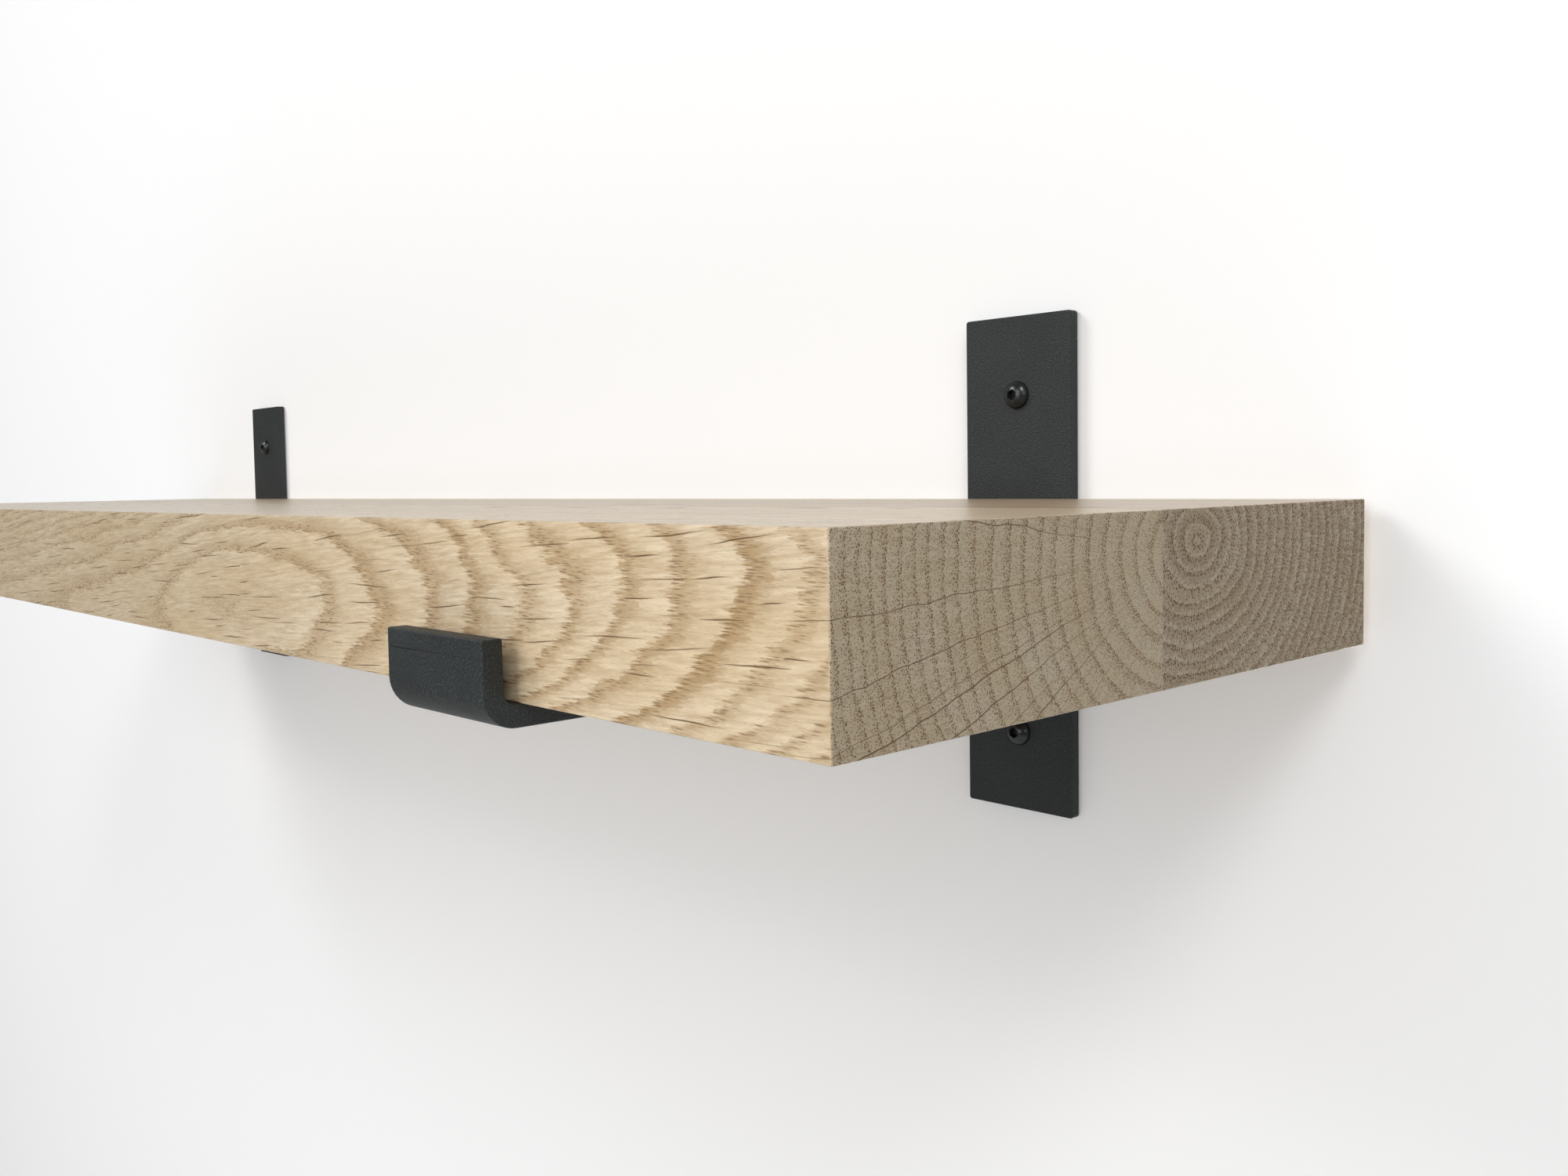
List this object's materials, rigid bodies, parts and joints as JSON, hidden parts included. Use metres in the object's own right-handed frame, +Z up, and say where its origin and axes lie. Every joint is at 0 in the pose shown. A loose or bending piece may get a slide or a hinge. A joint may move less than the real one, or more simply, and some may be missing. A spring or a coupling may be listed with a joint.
{
  "type": "wall shelf with brackets",
  "caption": "Thick oak board shelf carried by two black flat-bar wall brackets, each with a wall plate, an arm under the board and an upturned lip at the front.",
  "frame": {"origin": "on the wall plane, midway between the brackets, level with the underside of the board", "axes": "+X along the wall to the right as seen from the room, +Y into the wall, +Z up; the front of the shelf faces -Y"},
  "size_m": [0.8, 0.259, 0.158],
  "materials": {
    "front_oak": "planed and sanded European oak, flat-sawn stave, thin satin clear lacquer",
    "back_oak": "planed and sanded European oak, stave cut near the pith, thin satin clear lacquer",
    "powder_coated_steel": "flat steel bar with a matt black fine-texture powder coat",
    "black_screw_steel": "black-coated steel screws, semi-gloss",
    "zinc_plated_steel": "bright zinc-plated steel screws",
    "nylon_plug": "moulded grey nylon"
  },
  "bodies": {
    "root": {"front_oak_stave": "front_oak", "back_oak_stave": "back_oak", "left_wall_plate": "powder_coated_steel", "left_bracket_arm": "powder_coated_steel", "left_arm_weld": "powder_coated_steel", "left_upper_wall_screw": "black_screw_steel", "left_upper_wall_plug": "nylon_plug", "left_lower_wall_screw": "black_screw_steel", "left_lower_wall_plug": "nylon_plug", "left_front_shelf_screw": "zinc_plated_steel", "left_back_shelf_screw": "zinc_plated_steel", "right_wall_plate": "powder_coated_steel", "right_bracket_arm": "powder_coated_steel", "right_arm_weld": "powder_coated_steel", "right_upper_wall_screw": "black_screw_steel", "right_upper_wall_plug": "nylon_plug", "right_lower_wall_screw": "black_screw_steel", "right_lower_wall_plug": "nylon_plug", "right_front_shelf_screw": "zinc_plated_steel", "right_back_shelf_screw": "zinc_plated_steel"}
  },
  "joints": []
}
